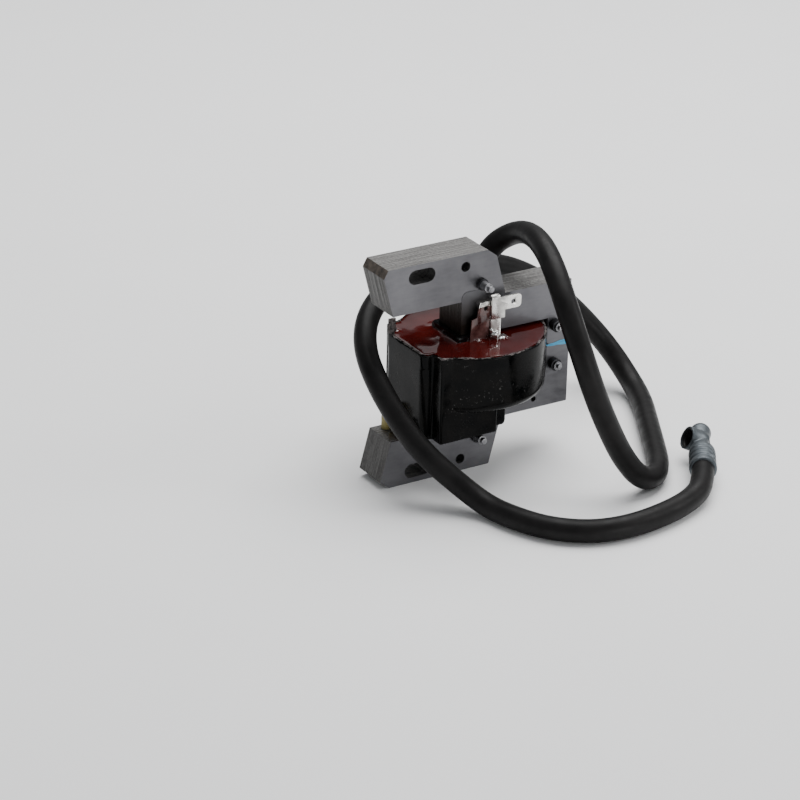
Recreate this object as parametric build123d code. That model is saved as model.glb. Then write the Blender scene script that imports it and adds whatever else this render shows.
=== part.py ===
from build123d import *
import math
import os

# Magneto ignition coil of a small engine, with its high-tension lead. Millimetres.
# The coil stands on the outer face of its lower pole leg. +X points away from the flywheel, +Y to the
# back, +Z up. The origin is at the bottom centre of the coil without its lead.
# Everything but the lead and its plug is drawn about the coil's middle height, and lifted at the end.

# Lamination stack
stack_thickness = 14.0
half_height = 40.4
half_length = 38.4
leg_height = 17.2
leg_length = 44.8
pole_angle = 15.0
core_width = 13.0
core_centre = -0.2
tongue_depth = 3.4
tongue_radius = 2.4
arm_height = 13.2
column_width = 9.3
yoke_corner_radius = 0.4
seam_chamfer = 0.8

# Holes in the stack: two slots and two round holes to mount by, and a small tooling hole
slot_length = 10.4
slot_width = 5.2
slot_x = -22.7
hole_diameter = 3.6
hole_x = -5.4
mount_row = 35.9
tooling_hole_diameter = 2.0
tooling_hole_x = 24.4
tooling_hole_z = -19.7

# Rivets: each stands proud of the front in steps
pole_rivet_x = 1.0
pole_rivet_row = 28.6
pole_rivet_steps = ((4.2, 1.6), (3.3, 3.4), (2.2, 1.7))
yoke_rivet_x = 31.8
yoke_rivet_row = 7.3
yoke_rivet_steps = ((4.4, 2.6), (3.2, 1.0), (1.9, 1.2))
rivet_head_diameter = 5.0
rivet_head_height = 1.4

# Shell: a drum through the yoke's window, a side body and a pocket at the front and at the back.
# Beside the stack the drum hangs lower than its floor over the stack.
shell_wall = 1.2
rim_z = 9.0
raised_rim_z = 14.0
raised_front = 8.5
drum_floor_z = -9.8
drum_drop = 2.0
drum_centre = 2.0
drum_radius_x = 26.6
drum_radius_y = 25.2
drum_edge_radius = 3.0
body_floor_z = -22.6
side_x = -24.7
side_half_width = 12.5
side_corner_radius = 2.0
pocket_left = -20.9
pocket_right = 2.0
pocket_face = 18.2
foot_right = 7.6
foot_face = 15.0
core_gap = 0.3
stack_gap = 0.2

# Coil inside the shell
resin_z = 8.6
bobbin_wall = 1.0
bobbin_fit = 0.15
flange_thickness = 1.0
flange_top_z = 6.4
collar_top_z = 11.0
collar_width = 1.9
primary_build = 3.6
insulation_build = 0.5
secondary_build = 6.0
wrap_build = 0.6
module_floor_z = -20.5
module_top_z = -11.5
transistor_top_z = -8.9
transistor_legs = (-13.0, -10.6, -8.2)
transistor_leg_width = 0.7

# Terminals
sheet = 0.5
tab_sheet = 0.8
strap_front = -9.6
tab_front = -10.85
tab_length = 9.9
tab_height = 4.8
tab_dimple_diameter = 1.7
strap_top_z = 22.6
strap_hole_diameter = 1.6
solder_diameter = 3.2

# Ground wire in its sleeve, and the pad that the shell's side sits on
sleeve_diameter = 3.4
wire_diameter = 1.2
wire_bend_radius = 2.4
wire_exit_z = -16.5
wire_drop_x = -29.0
wire_y = 4.0
pad_diameter = 14.4
pad_thickness = 0.5

# High-tension lead: where its centre line runs, above the surface that the coil stands on
lead_diameter = 8.0
conductor_diameter = 2.4
contact_diameter = 4.4
grommet_diameter = 11.0
grommet_height = 4.6
lead_route = [
    (12.5, 14, 47.2),
    (12.5, 14, 59.5),
    (20, 17.5, 70.5),
    (25.5, 8.5, 78.5),
    (23.2, -6.5, 82),
    (18.5, -23, 79.7),
    (14.5, -38, 70.5),
    (14.3, -49, 56),
    (19, -51.5, 40.5),
    (25.5, -51.5, 26.5),
    (31.5, -52, 15),
    (38, -53.5, 6.5),
    (46, -51, 4),
    (53, -43.5, 4),
    (60, -31.5, 4),
    (68.5, -16, 4),
    (78, 1, 4),
    (84, 16.5, 5),
    (82, 29, 14.5),
    (73, 33.7, 26.5),
    (61.5, 34, 38),
    (48.5, 32.7, 48.5),
    (32, 30.5, 57),
    (15, 28.5, 60.5),
    (-2, 27, 61.5),
    (-17.5, 23.5, 60),
    (-30, 16.5, 54.5),
    (-36.5, 7, 47.5),
    (-38, -4, 39.5),
    (-35.5, -14.5, 29),
    (-31, -23.5, 19.5),
    (-22.5, -32, 10),
    (-16.5, -41, 4),
    (-13.5, -53, 4),
    (-7.5, -65.5, 4),
    (3, -74.3, 4),
    (16, -77.3, 4),
    (30.5, -76, 4),
    (45, -72, 4),
    (56.2, -65.9, 5.2),
    (66, -51.3, 6.3),
]

# Plug terminal at the lead's far end
ferrule_diameter = 9.6
ferrule_length = 13.0
ferrule_depth = 7.5
crimp_places = (3.0, 6.0, 9.0)
crimp_width = 0.9
crimp_depth = 0.3
shoulder_length = 3.0
neck_diameter = 6.4
dome_reach = 26.0
dome_diameter = 7.6
socket_reach = 19.8
socket_direction = Vector(-0.88, 0.25, 0.40).normalized()
socket_diameter = 8.2
socket_bore = 7.2
socket_floor = 0.8
socket_length = 6.0
liner_wall = 0.3
clip_wall = 0.3
clip_start = 1.6
clip_length = 3.2
clip_split = 1.2

front = -stack_thickness / 2
back = stack_thickness / 2
leg_inner = half_height - leg_height
pole_shift = leg_height * math.tan(math.radians(pole_angle))
core_left = core_centre - core_width / 2
core_right = core_centre + core_width / 2
arm_inner = leg_inner - arm_height
column_left = half_length - column_width


def block(x0, x1, y0, y1, z0, z1):
    """A box between two values on each axis."""
    box = Box(x1 - x0, y1 - y0, z1 - z0)
    return Pos((x0 + x1) / 2, (y0 + y1) / 2, (z0 + z1) / 2) * box


def plate(outline, y0, y1):
    """A flat piece with an outline of (x, z) points, from y0 back to y1."""
    wire = Polyline([(x, y0, z) for x, z in outline], close=True)
    return extrude(make_face(wire.edges()), amount=y1 - y0, dir=(0, 1, 0))


def pin(x, z, diameter, y0, y1):
    """A round bar along Y."""
    bar = Cylinder(diameter / 2, y1 - y0)
    return Pos(x, (y0 + y1) / 2, z) * Rot(90, 0, 0) * bar


def ring_around_core(inset, outset, z0, z1):
    """A rectangular ring with rounded corners around the core leg."""
    def prism(offset):
        width = core_width + 2 * offset
        depth = stack_thickness + 2 * offset
        profile = RectangleRounded(width, depth, max(offset, 0.4))
        return extrude(Pos(core_centre, 0, z0) * profile, amount=z1 - z0)
    return prism(outset) - prism(inset)


def round_edges_along(solid, axis, radius, choose):
    """Rounds the straight edges along one axis that choose picks by their centre."""
    edges = [edge for edge in solid.edges().filter_by(axis) if choose(edge.center())]
    return fillet(edges, radius)


# Lamination stack

def stack_slot(z):
    slot = Rot(90, 0, 0) * SlotOverall(slot_length, slot_width)
    return extrude(Pos(slot_x, back + 1, z) * slot, amount=stack_thickness + 2, dir=(0, -1, 0))


def core_tongue(z0, z1):
    return block(core_left, core_right, front, back, z0, z1)


def core_leg():
    reach = leg_inner + tongue_depth
    leg = core_tongue(-reach, reach)
    return round_edges_along(leg, Axis.Y, tongue_radius, lambda centre: True)


def pole_leg(outline):
    leg = plate(outline, front, back) - core_leg() - stack_slot(mount_row)
    leg -= pin(hole_x, mount_row, hole_diameter, front - 1, back + 1)
    return leg - pin(pole_rivet_x, pole_rivet_row, pole_rivet_steps[1][0], front - 1, back + 1)


def upper_pole_leg():
    top_left = -half_length
    top_right = top_left + leg_length
    outline = [
        (top_left + 0.8, half_height - 2.9),
        (top_left + 2.4, half_height),
        (top_right - 3.0, half_height),
        (top_right + 0.7, half_height - 2.8),
        (top_right + pole_shift, leg_inner),
        (top_left + pole_shift, leg_inner),
    ]
    return pole_leg(outline)


def lower_pole_leg():
    top_left = -half_length
    top_right = top_left + leg_length
    outline = [
        (top_left + 0.75, half_height - 2.8),
        (top_left + 4.5, half_height),
        (top_right, half_height),
        (top_right + pole_shift, leg_inner),
        (top_left + pole_shift, leg_inner),
    ]
    return mirror(pole_leg(outline), about=Plane.XY)


def upper_yoke_half():
    outline = [
        (core_right, leg_inner),
        (half_length, leg_inner),
        (half_length, 0),
        (column_left + seam_chamfer, 0),
        (column_left, seam_chamfer),
        (column_left, arm_inner),
        (core_right, arm_inner),
    ]
    half = plate(outline, front, back)
    half = round_edges_along(half, Axis.Y, yoke_corner_radius,
                             lambda centre: centre.X > half_length - 1 and centre.Z > 1)
    return half - pin(yoke_rivet_x, yoke_rivet_row, yoke_rivet_steps[1][0], front - 1, back + 1)


def lower_yoke_half():
    half = mirror(upper_yoke_half(), about=Plane.XY)
    return half - pin(tooling_hole_x, tooling_hole_z, tooling_hole_diameter, front - 1, back + 1)


def rivet(x, z, steps, proud):
    """A rivet through the stack: a round head at the back, and steps that get thinner to the front."""
    body = pin(x, z, steps[1][0], front, back)
    head = pin(x, z, rivet_head_diameter, back, back + rivet_head_height)
    body += fillet(head.edges().group_by(Axis.Y)[-1], 0.8)
    y = front
    for diameter, length in steps:
        step = pin(x, z, diameter, y - length * proud, y)
        body += chamfer(step.edges().group_by(Axis.Y)[0], 0.25)
        y -= length * proud
    return body


def pole_rivets():
    upper = rivet(pole_rivet_x, pole_rivet_row, pole_rivet_steps, 1.0)
    lower = rivet(pole_rivet_x, -pole_rivet_row, pole_rivet_steps, 0.8)
    return [upper, lower]


def yoke_rivets():
    return [rivet(yoke_rivet_x, side * yoke_rivet_row, yoke_rivet_steps, 1.0) for side in (1, -1)]


# Shell and resin

def drum(inset, floor_z, top_z, edge_radius):
    profile = Ellipse(drum_radius_x - inset, drum_radius_y - inset)
    solid = extrude(Pos(drum_centre, 0, floor_z) * profile, amount=top_z - floor_z)
    if edge_radius:
        solid = fillet(solid.edges().group_by(Axis.Z)[0], edge_radius)
    return solid


def around_stack(x0, x1, z0, z1):
    """Space for the stack, with a gap at its front and back."""
    return block(x0, x1, front - stack_gap, back + stack_gap, z0, z1)


def shell_outside():
    side = block(side_x, core_left, -side_half_width, side_half_width, body_floor_z, rim_z)
    side = round_edges_along(side, Axis.Z, side_corner_radius,
                             lambda centre: centre.X < core_left - 1)
    pockets = block(pocket_left, pocket_right, -pocket_face, pocket_face, body_floor_z, rim_z)
    pockets = round_edges_along(pockets, Axis.Z, 1.2, lambda centre: True)
    feet = block(0, foot_right, -foot_face, foot_face, body_floor_z + 0.3, drum_floor_z)
    feet = round_edges_along(feet, Axis.Y, 1.5, lambda centre: centre.X > 1 and centre.Z < -15)
    slot = around_stack(core_left - core_gap, half_length, -half_height, drum_floor_z)
    return drum(0, drum_floor_z - drum_drop, rim_z, drum_edge_radius) + side + pockets + feet - slot


def raised_corner():
    """Stretch of the side body's wall, at the back left, that stands higher than the rest."""
    def prism(inset):
        right = core_left - inset
        width = side_half_width - inset
        solid = block(side_x + inset, right, -width, width, rim_z, raised_rim_z)
        return round_edges_along(solid, Axis.Z, side_corner_radius - inset,
                                 lambda centre: centre.X < right - 1)
    region = block(side_x, pocket_left, raised_front, side_half_width, rim_z, raised_rim_z)
    return (prism(0) - prism(shell_wall)) & region


def shell_inside(top_z):
    """The space that the resin fills, before the coil goes in."""
    left = side_x + shell_wall
    inner_face = back + stack_gap + shell_wall
    floor = body_floor_z + shell_wall
    drum_low = drum_floor_z - drum_drop + shell_wall
    drum_space = drum(shell_wall, drum_low, top_z, drum_edge_radius - shell_wall)
    drum_space -= block(core_left - core_gap - shell_wall, half_length, -inner_face, inner_face,
                        -half_height, drum_floor_z + shell_wall)
    half_width = side_half_width - shell_wall
    right = core_left - core_gap - shell_wall
    space = drum_space + block(left, right, -half_width, half_width, floor, top_z)
    for y0, y1 in ((-pocket_face + shell_wall, -inner_face), (inner_face, pocket_face - shell_wall)):
        space += block(pocket_left + shell_wall, pocket_right - shell_wall, y0, y1, floor, top_z)
    return space


def coil_shell():
    left = core_left - core_gap
    right = core_right + core_gap
    passage = around_stack(left, right, drum_floor_z - 1, drum_floor_z + shell_wall + 1)
    return shell_outside() - shell_inside(rim_z + 1) - passage + raised_corner()


def epoxy_potting(pieces):
    """Resin up to its level, around every piece that is cast into it."""
    resin = shell_inside(resin_z)
    floor = drum_floor_z + shell_wall
    resin -= ring_around_core(-4, bobbin_fit + bobbin_wall, floor, resin_z + 1)
    resin -= core_tongue(body_floor_z, resin_z + 1)
    for piece in pieces:
        resin -= piece
    return resin


# Coil

def bobbin():
    floor = drum_floor_z + shell_wall
    tube_out = bobbin_fit + bobbin_wall
    winding_out = tube_out + primary_build + insulation_build + secondary_build + wrap_build
    spool = ring_around_core(bobbin_fit, tube_out, floor, flange_top_z)
    spool += ring_around_core(bobbin_fit, winding_out, floor, floor + flange_thickness)
    spool += ring_around_core(bobbin_fit, winding_out, flange_top_z - flange_thickness, flange_top_z)
    collar = ring_around_core(bobbin_fit, collar_width, flange_top_z, collar_top_z)
    return spool + (collar - block(core_right, half_length, -20, 20, 0, half_height))


def windings():
    """The four layers on the bobbin, from the inside out."""
    z0 = drum_floor_z + shell_wall + flange_thickness
    z1 = flange_top_z - flange_thickness
    layers = {}
    inside = bobbin_fit + bobbin_wall
    builds = (
        ("primary_winding", primary_build),
        ("winding_insulation", insulation_build),
        ("secondary_winding", secondary_build),
        ("outer_wrap", wrap_build),
    )
    for name, build in builds:
        layers[name] = ring_around_core(inside, inside + build, z0, z1)
        inside += build
    return layers


def trigger_module():
    module = block(-18, -1, -16, -9.4, module_floor_z, module_top_z)
    return round_edges_along(module, Axis.Z, 1.0, lambda centre: True)


def switch_transistor():
    transistor = block(-14.5, -6, -15.2, -11, module_top_z, transistor_top_z)
    for x in transistor_legs:
        transistor += block(x, x + transistor_leg_width, -11, -10, module_top_z, module_top_z + 0.6)
    return transistor


# Terminals

def ground_strap():
    """Tapered plate that rises in front of the core and touches it with its folded top."""
    outline = [
        (-4.6, 7.5),
        (2.9, 7.5),
        (3.3, 17.2),
        (4.4, strap_top_z),
        (-0.8, strap_top_z),
        (-1.8, 17.4),
        (-3.8, 16.8),
    ]
    strap = plate(outline, strap_front, strap_front + sheet)
    strap += block(-0.8, 4.4, strap_front, front, strap_top_z - sheet, strap_top_z)
    return strap - pin(1.6, 20.2, strap_hole_diameter, strap_front - 1, strap_front + 1)


def stop_terminal():
    """Bracket with the quick-connect tab for the stop wire."""
    step_y = tab_front + 1.65
    tab = block(5.2, 5.2 + tab_length, tab_front, tab_front + tab_sheet, 18.9, 18.9 + tab_height)
    tab = round_edges_along(tab, Axis.Y, 1.3, lambda centre: centre.X > 10)
    face = block(3.3, 8.6, tab_front, tab_front + tab_sheet, 16.1, 23.6)
    curl = Cylinder(1.25, 3.2) - Cylinder(0.45, 3.2)
    curl = Pos(4.9, tab_front + 1.25, 23.6) * Rot(0, 90, 0) * curl
    curl -= block(0, 10, -15, 0, 20, 23.6)
    joggle = block(3.6, 7.6, tab_front, step_y, 16.1, 16.9)
    strip = block(3.6, 7.6, step_y - 0.7, step_y, 7.5, 16.9)
    foot = block(6.2, 9.4, tab_front - 1.2, step_y, 8.2, 9.2)
    bracket = face + tab + curl + joggle + strip + foot
    return bracket - pin(11.8, 21.3, tab_dimple_diameter, tab_front - 1, tab_front + 2)


def solder_joint():
    blob = Pos(4.9, tab_front + 0.2, 10.4) * Sphere(solder_diameter / 2)
    return blob - stop_terminal() - ground_strap()


# Ground wire and seat pad, between the shell and the lower leg

def bent_bar(radius):
    """A bar that leaves the shell's side and turns down onto the lower leg."""
    exit_point = (side_x, wire_y, wire_exit_z)
    corner = (wire_drop_x, wire_y, wire_exit_z)
    foot = (wire_drop_x, wire_y, -leg_inner)
    path = FilletPolyline(exit_point, corner, foot, radius=wire_bend_radius)
    return sweep(Plane(path @ 0, z_dir=path % 0) * Circle(radius), path=path)


def seat_pad():
    disc = Pos(-26.4, front, -leg_inner + pad_thickness / 2) * Cylinder(pad_diameter / 2, pad_thickness)
    return disc & block(-40, side_x + 8, front, back, -leg_inner, -20)


# Lead and plug terminal

def lead_path():
    """Straight runs joined by arcs as large as the two runs beside each corner allow."""
    points = [Vector(*point) for point in lead_route]
    radii = []
    for before, corner, after in zip(points, points[1:], points[2:]):
        turn = math.radians((corner - before).get_angle(after - corner))
        run = min((corner - before).length, (after - corner).length)
        radii.append(0.45 * run / math.tan(turn / 2))
    print("lead radii:", " ".join(f"{radius:.0f}" for radius in radii))
    return FilletPolyline(*points, radius=radii)


def lead_pieces():
    path = lead_path()
    start = Plane(path @ 0, z_dir=path % 0)
    jacket_ring = Circle(lead_diameter / 2) - Circle(conductor_diameter / 2)
    jacket = sweep(start * jacket_ring, path=path)
    conductor = sweep(start * Circle(conductor_diameter / 2), path=path)
    area = math.pi * (lead_diameter ** 2 - conductor_diameter ** 2) / 4
    print(f"lead length {path.length:.1f}, jacket volume over section {jacket.volume / area:.1f}")
    return jacket, conductor


def along(origin, direction, diameter, start, end):
    """A round bar along a direction, between two distances from the origin."""
    bar = Cylinder(diameter / 2, end - start, align=(Align.CENTER, Align.CENTER, Align.MIN))
    return Plane(origin + direction * start, z_dir=direction) * bar


def lead_grommet():
    start = Vector(*lead_route[0])
    direction = (Vector(*lead_route[1]) - start).normalized()
    ring = along(start, direction, grommet_diameter, 0, grommet_height)
    ring = fillet(ring.edges().group_by(Axis.Z)[-1], 1.0)
    return ring - along(start, direction, lead_diameter, -1, grommet_height + 1)


def output_contact():
    x, y, z = lead_route[0]
    seat = half_height + flange_top_z
    return Pos(x, y, (seat + z) / 2) * Cylinder(contact_diameter / 2, z - seat)


def plug_frame():
    """The ferrule's rim, the stem's direction, and where the socket's axis crosses the stem."""
    end = Vector(*lead_route[-1])
    axis = (end - Vector(*lead_route[-2])).normalized()
    rim = end - axis * ferrule_depth
    return rim, axis, rim + axis * socket_reach


def plug_terminal():
    rim, axis, elbow = plug_frame()
    ferrule = along(rim, axis, ferrule_diameter, 0, ferrule_length)
    for place in crimp_places:
        end = place + crimp_width
        groove = along(rim, axis, ferrule_diameter + 1, place, end)
        ferrule -= groove - along(rim, axis, ferrule_diameter - 2 * crimp_depth, place, end)
    shoulder = Cone(ferrule_diameter / 2, neck_diameter / 2, shoulder_length,
                    align=(Align.CENTER, Align.CENTER, Align.MIN))
    body = ferrule + Plane(rim + axis * ferrule_length, z_dir=axis) * shoulder
    body += along(rim, axis, neck_diameter, ferrule_length + shoulder_length, dome_reach)
    body += Pos(rim + axis * dome_reach) * Sphere(dome_diameter / 2)
    body += along(elbow, socket_direction, socket_diameter, 0, socket_length)
    body -= along(rim, axis, lead_diameter, -1, ferrule_depth)
    return body - along(elbow, socket_direction, socket_bore, socket_floor, socket_length + 1)


def terminal_liner():
    elbow = plug_frame()[2]
    liner = along(elbow, socket_direction, socket_bore, socket_floor, socket_length - 0.4)
    inside = socket_bore - 2 * liner_wall
    return liner - along(elbow, socket_direction, inside, 0, socket_length)


def terminal_clip():
    """Split spring ring inside the liner."""
    elbow = plug_frame()[2]
    outside = socket_bore - 2 * liner_wall
    inside = outside - 2 * clip_wall
    clip = along(elbow, socket_direction, outside, clip_start, clip_start + clip_length)
    clip -= along(elbow, socket_direction, inside, 0, socket_length)
    middle = elbow + socket_direction * (clip_start + clip_length / 2)
    split = Pos(outside / 2, 0, 0) * Box(3, clip_split, clip_length + 1)
    return clip - Plane(middle, z_dir=socket_direction) * split


def export(name, solids):
    """Writes one node."""
    shape = Compound(children=solids) if len(solids) > 1 else solids[0]
    export_step(shape, f"parts/{name}.step")


def main():
    os.makedirs("parts", exist_ok=True)
    lift = Pos(0, 0, half_height)
    lower = Pos(0, 0, -half_height)
    jacket, conductor = lead_pieces()
    standing = {
        "ht_lead": jacket,
        "lead_conductor": conductor,
        "lead_grommet": lead_grommet(),
        "output_contact": output_contact(),
        "plug_terminal": plug_terminal(),
        "terminal_liner": terminal_liner(),
        "terminal_clip": terminal_clip(),
    }
    coil = {
        "upper_pole_leg": upper_pole_leg(),
        "lower_pole_leg": lower_pole_leg(),
        "core_leg": core_leg(),
        "upper_yoke_half": upper_yoke_half(),
        "lower_yoke_half": lower_yoke_half(),
        "coil_shell": coil_shell(),
        "bobbin": bobbin(),
        "trigger_module": trigger_module(),
        "switch_transistor": switch_transistor(),
        "ground_strap": ground_strap(),
        "stop_terminal": stop_terminal(),
        "solder_joint": solder_joint(),
        "ground_sleeve": bent_bar(sleeve_diameter / 2) - bent_bar(wire_diameter / 2),
        "ground_wire": bent_bar(wire_diameter / 2),
        "seat_pad": seat_pad(),
    }
    coil.update(windings())
    cast_in = ["bobbin", "trigger_module", "switch_transistor", "ground_strap", "stop_terminal",
               "solder_joint"] + list(windings())
    pieces = [coil[name] for name in cast_in]
    for name in ("ht_lead", "lead_conductor", "lead_grommet", "output_contact"):
        pieces.append(lower * standing[name])
    coil["epoxy_potting"] = epoxy_potting(pieces)
    for name, solid in coil.items():
        export(name, [lift * piece for piece in solid.solids()])
    for name, solid in standing.items():
        export(name, list(solid.solids()))
    export("pole_rivets", [lift * piece for piece in pole_rivets()])
    export("yoke_rivets", [lift * piece for piece in yoke_rivets()])


main()
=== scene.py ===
import math
import random

import bmesh
import bpy
from mathutils import Matrix, Vector, noise
from mathutils.geometry import tessellate_polygon


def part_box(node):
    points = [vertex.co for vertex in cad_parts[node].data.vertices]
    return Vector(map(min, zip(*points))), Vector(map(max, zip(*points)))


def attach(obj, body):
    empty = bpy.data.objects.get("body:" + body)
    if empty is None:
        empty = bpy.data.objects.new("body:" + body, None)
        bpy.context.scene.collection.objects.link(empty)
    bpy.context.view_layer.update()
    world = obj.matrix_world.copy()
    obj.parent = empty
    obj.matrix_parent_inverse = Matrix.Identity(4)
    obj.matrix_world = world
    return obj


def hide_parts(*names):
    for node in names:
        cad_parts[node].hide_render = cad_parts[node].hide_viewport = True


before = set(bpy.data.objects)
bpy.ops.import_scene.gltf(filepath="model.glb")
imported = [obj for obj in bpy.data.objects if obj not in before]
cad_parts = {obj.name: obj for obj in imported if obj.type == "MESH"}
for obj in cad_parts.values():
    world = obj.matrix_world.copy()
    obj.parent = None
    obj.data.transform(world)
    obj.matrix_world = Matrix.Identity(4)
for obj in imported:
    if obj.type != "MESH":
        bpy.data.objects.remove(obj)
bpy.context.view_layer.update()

MM = 0.001

# Lamination stack
SHEET_COUNT = 28
SHEET_GAP = 0.05 * MM
SHEET_JITTER = 0.035 * MM

# Rivets: how far their rows are above and below the middle of the stack, in millimetres
POLE_RIVET_ROW = 28.6
YOKE_RIVET_ROW = 7.3

# Shell, about its three plan shapes: a drum, a side body and the pockets
SHELL_WALL = 1.2 * MM
RIM_WALL = 1.0 * MM
SHELL_VOXEL = 0.42 * MM
DRUM_CENTRE = 2.0 * MM
PLAN_CENTRE = Vector((-10 * MM, 0, 0))
CORNER = 2.0 * MM

# Sizes of the same shapes in millimetres
DRUM_WIDTH_RADIUS = 26.6
DRUM_DEPTH_RADIUS = 25.2
DRUM_EDGE = 3.0
DRUM_HEIGHT = 20.8
DRUM_RADII = (DRUM_WIDTH_RADIUS * MM, DRUM_DEPTH_RADIUS * MM)
SIDE_RIGHT = -6.7
SIDE_REACH = 12.5
POCKET_LEFT = -20.9
POCKET_RIGHT = 2.0
POCKET_REACH = 18.2
STACK_REACH = 7.2
RIM_DEPTH = 2.5

# Heights where a material changes, in millimetres
GREY_RIM_LEVEL = 49.85
BARE_TIN_LEVEL = 62.6
# Heights between which the core's steel turns darker towards its low end
LOW_DARKENING_LEVELS = (57, 69)

# High-tension lead, the same points as the CAD route
LEAD_DIAMETER = 8.0 * MM
LEAD_ROUTE = [
    (12.5, 14, 47.2),
    (12.5, 14, 59.5),
    (20, 17.5, 70.5),
    (25.5, 8.5, 78.5),
    (23.2, -6.5, 82),
    (18.5, -23, 79.7),
    (14.5, -38, 70.5),
    (14.3, -49, 56),
    (19, -51.5, 40.5),
    (25.5, -51.5, 26.5),
    (31.5, -52, 15),
    (38, -53.5, 6.5),
    (46, -51, 4),
    (53, -43.5, 4),
    (60, -31.5, 4),
    (68.5, -16, 4),
    (78, 1, 4),
    (84, 16.5, 5),
    (82, 29, 14.5),
    (73, 33.7, 26.5),
    (61.5, 34, 38),
    (48.5, 32.7, 48.5),
    (32, 30.5, 57),
    (15, 28.5, 60.5),
    (-2, 27, 61.5),
    (-17.5, 23.5, 60),
    (-30, 16.5, 54.5),
    (-36.5, 7, 47.5),
    (-38, -4, 39.5),
    (-35.5, -14.5, 29),
    (-31, -23.5, 19.5),
    (-22.5, -32, 10),
    (-16.5, -41, 4),
    (-13.5, -53, 4),
    (-7.5, -65.5, 4),
    (3, -74.3, 4),
    (16, -77.3, 4),
    (30.5, -76, 4),
    (45, -72, 4),
    (56.2, -65.9, 5.2),
    (66, -51.3, 6.3),
]

# Plug terminal, in millimetres along the lead's end
PLUG_OVERLAP = 7.5
ELBOW_DISTANCE = 19.8
SOCKET_DIRECTION = Vector((-0.88, 0.25, 0.40)).normalized()

# Camera
CAMERA_PLACE = Vector((-526, -805.4, 463.9)) * MM
CAMERA_YAW = 31.83
CAMERA_PITCH = 24.66
CAMERA_ROLL = 1.22
CAMERA_LENS = 137.2


# Camera, light and floor

def add_object(name, data):
    obj = bpy.data.objects.new(name, data)
    bpy.context.scene.collection.objects.link(obj)
    return obj


def add_camera():
    yaw, pitch, roll = (math.radians(a) for a in (CAMERA_YAW, CAMERA_PITCH, CAMERA_ROLL))
    flat = math.cos(pitch)
    forward = Vector((math.sin(yaw) * flat, math.cos(yaw) * flat, -math.sin(pitch)))
    right = Vector((math.cos(yaw), -math.sin(yaw), 0))
    up = right.cross(forward)
    right, up = (
        math.cos(roll) * right + math.sin(roll) * up,
        math.cos(roll) * up - math.sin(roll) * right,
    )
    camera = add_object("camera", bpy.data.cameras.new("camera"))
    camera.data.lens = CAMERA_LENS
    camera.data.sensor_width = 36
    camera.data.clip_start = 0.05
    turn = Matrix((right, up, -forward)).transposed().to_4x4()
    camera.matrix_world = Matrix.Translation(CAMERA_PLACE) @ turn
    bpy.context.scene.camera = camera


def add_area_light(name, place, target, size, power):
    light = bpy.data.lights.new(name, "AREA")
    light.shape = "DISK"
    light.size = size
    light.energy = power
    lamp = add_object(name, light)
    place = Vector(place)
    lamp.location = place
    lamp.rotation_euler = (Vector(target) - place).to_track_quat("-Z", "Y").to_euler()


def add_studio():
    world = bpy.data.worlds.new("studio")
    world.use_nodes = True
    background = world.node_tree.nodes["Background"]
    background.inputs["Color"].default_value = (0.96, 0.98, 1.0, 1)
    background.inputs["Strength"].default_value = 0.38
    bpy.context.scene.world = world
    middle = (0.02, -0.02, 0.03)
    add_area_light("overhead", (0.3, 0.25, 1.0), middle, 1.1, 18)
    add_area_light("front_fill", (0.3, -1.0, 0.05), (0, -0.02, 0), 0.5, 4)
    add_area_light("right_fill", (0.9, -0.5, 0.6), middle, 0.5, 4)
    floor = mesh_object(
        "floor",
        [(-3, -3, 0), (3, -3, 0), (3, 3, 0), (-3, 3, 0)],
        [(0, 1, 2, 3)],
        [floor_material()],
    )


# Materials

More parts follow.
